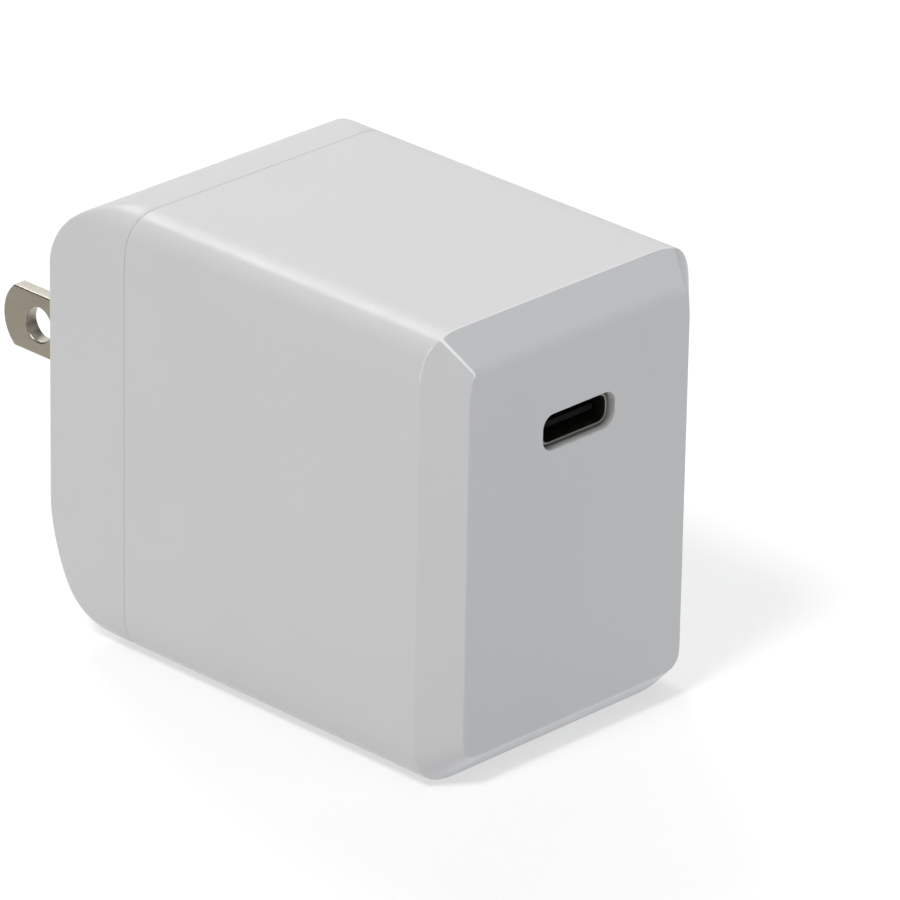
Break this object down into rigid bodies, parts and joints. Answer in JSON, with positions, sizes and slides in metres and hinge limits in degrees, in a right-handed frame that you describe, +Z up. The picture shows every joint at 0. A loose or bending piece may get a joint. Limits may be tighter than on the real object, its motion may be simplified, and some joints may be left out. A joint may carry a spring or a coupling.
{
  "type": "usb-c laptop wall charger",
  "caption": "White USB-C laptop wall charger: chamfered rounded box with a socket in its front face and flat mains prongs that fold into the curved rear cover.",
  "frame": {"origin": "middle of the body's flat underside", "axes": "-Y through the socket face, +Y through the face that meets the wall, +X the width, +Z up"},
  "size_m": [0.0352, 0.0696, 0.045],
  "materials": {
    "white_plastic": "satin moulded polycarbonate",
    "tub_plastic": "moulded flame-retardant plastic",
    "blade_nickel": "nickel-plated brass, satin",
    "spring_brass": "spring bronze strip",
    "steel": "plated steel",
    "board_green": "solder-masked glass epoxy",
    "black_plastic": "moulded epoxy",
    "ferrite": "sintered ferrite",
    "yellow_tape": "polyester winding tape",
    "copper": "enamelled copper",
    "capacitor_sleeve": "shrink sleeve",
    "blue_epoxy": "dipped epoxy",
    "box_yellow": "plastic box, potted",
    "aluminium": "mill finish",
    "fish_paper": "insulating sheet"
  },
  "bodies": {
    "housing": {"front_housing": "white_plastic", "rear_cover": "white_plastic", "prong_tub": "tub_plastic", "left_contact_spring": "spring_brass", "right_contact_spring": "spring_brass", "detent_spring": "steel", "tub_screw_left": "steel", "tub_screw_right": "steel", "tub_screw_lower": "steel", "primary_board": "board_green", "output_board": "board_green", "usb_shell": "steel", "usb_tongue": "black_plastic", "transformer_core_lower": "ferrite", "transformer_core_upper": "ferrite", "transformer_winding": "yellow_tape", "choke_core": "ferrite", "choke_winding_left": "copper", "choke_winding_right": "copper", "bulk_capacitor_1": "capacitor_sleeve", "bulk_capacitor_2": "capacitor_sleeve", "bulk_capacitor_3": "capacitor_sleeve", "x_capacitor": "box_yellow", "y_capacitor": "blue_epoxy", "fuse": "tub_plastic", "optocoupler": "black_plastic", "bridge_rectifier": "black_plastic", "switch_transistor": "black_plastic", "primary_controller": "black_plastic", "output_capacitor_left": "aluminium", "output_capacitor_right": "aluminium", "output_inductor": "ferrite", "power_delivery_controller": "black_plastic", "synchronous_rectifier": "black_plastic", "left_busbar": "copper", "right_busbar": "copper", "insulation_sheet": "fish_paper", "heat_spreader": "aluminium"},
    "prongs": {"prong_carrier": "tub_plastic", "left_blade": "blade_nickel", "right_blade": "blade_nickel"}
  },
  "joints": [
    {"name": "prong_fold", "type": "hinge", "parent": "housing", "child": "prongs", "pos_m": [0, 0.0216, 0.0239], "axis": [-1, 0, 0], "range_deg": [0, 90]}
  ]
}
